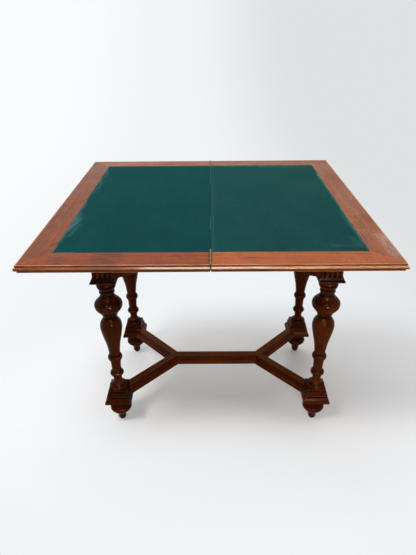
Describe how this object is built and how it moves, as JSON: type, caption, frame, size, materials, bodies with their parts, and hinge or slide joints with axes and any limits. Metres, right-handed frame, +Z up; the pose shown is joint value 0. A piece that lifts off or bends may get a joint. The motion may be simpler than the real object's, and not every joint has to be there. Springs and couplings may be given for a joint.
{
  "type": "folding card table",
  "caption": "Square card table with a cloth-lined folding top that swivels and opens like a book, on turned legs with fluted capitals joined by a forked stretcher.",
  "frame": {"origin": "on the floor under the centre of the open top", "axes": "+Z up; +X to the right as pictured, from the folding leaf to the fixed leaf; +Y away from the camera"},
  "size_m": [0.94, 0.924, 0.753],
  "materials": {
    "top_wood": "reddish brown polished border wood, satin, a little faded and worn on the arrises",
    "frame_wood": "dark brown stained wood, waxed satin with soft highlights on the turnings",
    "secondary_wood": "plain planed softwood, unpolished",
    "green_baize": "matt woollen cloth, dark blue-green, rubbed paler along the edges",
    "hinge_brass": "aged yellow brass, dulled, bright where rubbed",
    "pivot_steel": "dull grey wrought steel"
  },
  "bodies": {
    "frame": {"front_left_capital": "frame_wood", "front_left_leg_shaft": "frame_wood", "front_left_plinth": "frame_wood", "front_left_foot": "frame_wood", "front_right_capital": "frame_wood", "front_right_leg_shaft": "frame_wood", "front_right_plinth": "frame_wood", "front_right_foot": "frame_wood", "back_left_capital": "frame_wood", "back_left_leg_shaft": "frame_wood", "back_left_plinth": "frame_wood", "back_left_foot": "frame_wood", "back_right_capital": "frame_wood", "back_right_leg_shaft": "frame_wood", "back_right_plinth": "frame_wood", "back_right_foot": "frame_wood", "front_rail": "frame_wood", "back_rail": "frame_wood", "left_rail": "frame_wood", "right_rail": "frame_wood", "pivot_bearer": "secondary_wood", "stretcher_centre_rail": "frame_wood", "stretcher_arm_front_left": "frame_wood", "stretcher_arm_front_right": "frame_wood", "stretcher_arm_back_left": "frame_wood", "stretcher_arm_back_right": "frame_wood", "stretcher_dowels": "secondary_wood"},
    "fixed_leaf": {"fixed_leaf_board": "secondary_wood", "fixed_leaf_baize": "green_baize", "fixed_leaf_front_border": "top_wood", "fixed_leaf_back_border": "top_wood", "fixed_leaf_end_border": "top_wood", "front_hinge_fixed_plate": "hinge_brass", "front_hinge_pin": "hinge_brass", "back_hinge_fixed_plate": "hinge_brass", "back_hinge_pin": "hinge_brass", "fixed_leaf_hinge_screws": "hinge_brass", "pivot_plate": "pivot_steel", "pivot_plate_screws": "pivot_steel", "pivot_stud": "pivot_steel", "pivot_washer": "pivot_steel", "pivot_nut": "pivot_steel", "swivel_stop_block": "secondary_wood"},
    "folding_leaf": {"folding_leaf_board": "secondary_wood", "folding_leaf_baize": "green_baize", "folding_leaf_front_border": "top_wood", "folding_leaf_back_border": "top_wood", "folding_leaf_end_border": "top_wood", "front_hinge_folding_plate": "hinge_brass", "back_hinge_folding_plate": "hinge_brass", "folding_leaf_hinge_screws": "hinge_brass"}
  },
  "joints": [
    {"name": "top_swivel", "type": "hinge", "parent": "frame", "child": "fixed_leaf", "pos_m": [0.127, -0.108, 0.73], "axis": [0, 0, 1], "range_deg": [0, 90]},
    {"name": "leaf_fold", "type": "hinge", "parent": "fixed_leaf", "child": "folding_leaf", "pos_m": [0, 0, 0.7504], "axis": [0, 1, 0], "range_deg": [0, 180]}
  ]
}
